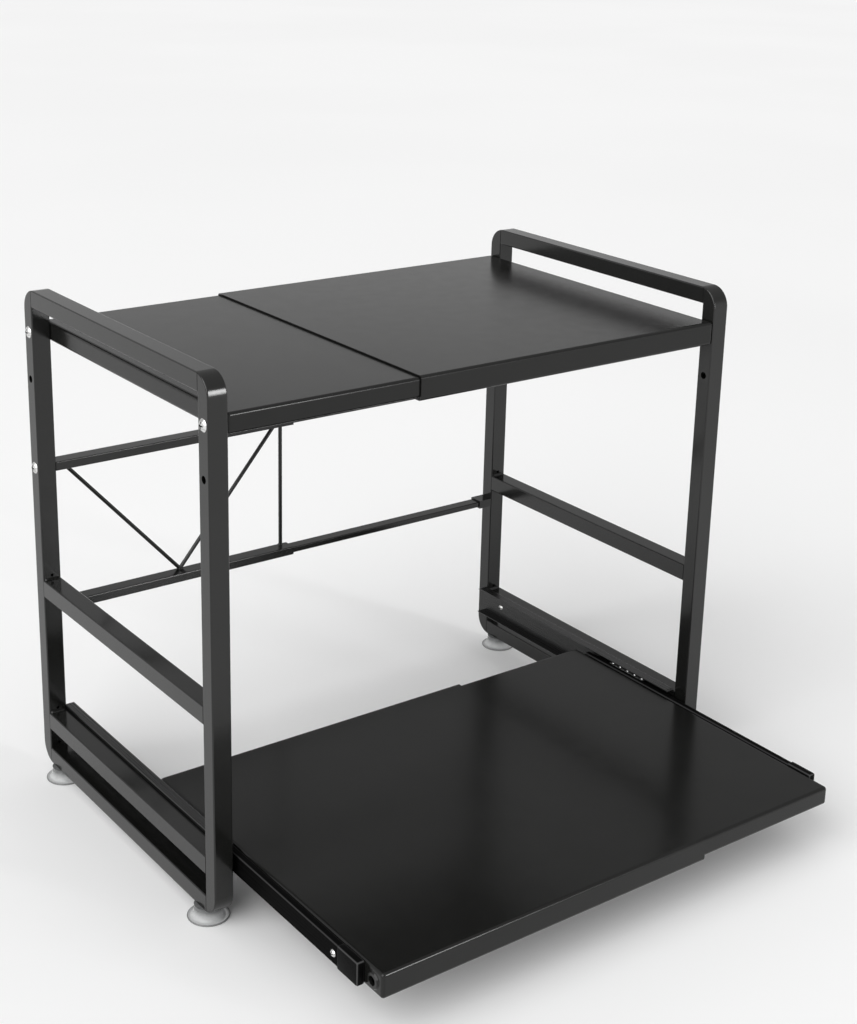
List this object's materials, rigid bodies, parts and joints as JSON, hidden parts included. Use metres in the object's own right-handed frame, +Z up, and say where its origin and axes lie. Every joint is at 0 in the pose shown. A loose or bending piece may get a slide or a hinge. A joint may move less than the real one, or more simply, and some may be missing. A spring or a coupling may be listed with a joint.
{
  "type": "microwave shelf rack",
  "caption": "Black tubular-steel counter rack that telescopes in width, with a folded-sheet shelf for an appliance and a lower tray that pulls out on ball slides.",
  "frame": {"origin": "on the floor, in the middle of the rack's box with the tray pulled out as at rest", "axes": "+X to the right along the width, +Y to the back, +Z up"},
  "size_m": [0.5854, 0.544, 0.4935],
  "materials": {
    "black_powder_coat": "fine satin powder coat",
    "slide_black": "semi-gloss black coat",
    "screw_chrome": "bright nickel plate",
    "plain_steel": "zinc plate",
    "ball_steel": "polished",
    "clear_cup": "clear soft vinyl",
    "stop_plastic": "moulded"
  },
  "bodies": {
    "left_half": {"shelf_left": "black_powder_coat", "shelf_tie_strap": "black_powder_coat", "left_upper_back_bar": "black_powder_coat", "left_lower_back_bar": "black_powder_coat", "left_upper_bar_insert": "plain_steel", "left_lower_bar_plug": "plain_steel", "brace_wire_left": "black_powder_coat", "brace_wire_right": "black_powder_coat", "brace_wire_upright": "black_powder_coat", "left_side_loop": "black_powder_coat", "left_mid_rail": "black_powder_coat", "left_lower_rail": "black_powder_coat", "left_front_foot": "clear_cup", "left_back_foot": "clear_cup", "left_foot_studs": "plain_steel", "left_shelf_nuts": "plain_steel", "left_shelf_screws": "screw_chrome", "left_bar_screw": "screw_chrome", "left_slide_fixed": "slide_black", "left_rail_screws": "screw_chrome"},
    "right_half": {"shelf_right": "black_powder_coat", "right_upper_back_bar": "black_powder_coat", "right_lower_back_bar": "black_powder_coat", "right_upper_bar_block": "black_powder_coat", "right_lower_bar_block": "black_powder_coat", "right_side_loop": "black_powder_coat", "right_mid_rail": "black_powder_coat", "right_lower_rail": "black_powder_coat", "right_front_foot": "clear_cup", "right_back_foot": "clear_cup", "right_foot_studs": "plain_steel", "right_shelf_nuts": "plain_steel", "right_shelf_screws": "screw_chrome", "right_bar_screw": "screw_chrome", "right_slide_fixed": "slide_black", "right_rail_screws": "screw_chrome"},
    "tray_left": {"tray_left": "black_powder_coat", "left_slide_moving": "slide_black", "left_slide_stop": "stop_plastic", "left_tray_screws": "screw_chrome"},
    "tray_right": {"tray_right": "black_powder_coat", "right_slide_moving": "slide_black", "right_slide_stop": "stop_plastic", "right_tray_screws": "screw_chrome"},
    "left_cage": {"left_ball_cage": "plain_steel", "left_slide_balls": "ball_steel"},
    "right_cage": {"right_ball_cage": "plain_steel", "right_slide_balls": "ball_steel"}
  },
  "joints": [
    {"name": "width_extend", "type": "slide", "parent": "left_half", "child": "right_half", "axis": [1, 0, 0], "range_m": [-0.135, 0.08]},
    {"name": "tray_pull", "type": "slide", "parent": "left_half", "child": "tray_left", "axis": [0, -1, 0], "range_m": [-0.18, 0.07]},
    {"name": "tray_width", "type": "slide", "parent": "tray_left", "child": "tray_right", "axis": [1, 0, 0], "range_m": [-0.135, 0.08]},
    {"name": "left_cage_roll", "type": "slide", "parent": "left_half", "child": "left_cage", "axis": [0, -1, 0], "range_m": [-0.09, 0.035]},
    {"name": "right_cage_roll", "type": "slide", "parent": "right_half", "child": "right_cage", "axis": [0, -1, 0], "range_m": [-0.09, 0.035]}
  ],
  "couplings": [
    {"joint": "tray_width", "follows": "width_extend", "ratio": 1},
    {"joint": "left_cage_roll", "follows": "tray_pull", "ratio": 0.5},
    {"joint": "right_cage_roll", "follows": "tray_pull", "ratio": 0.5}
  ]
}
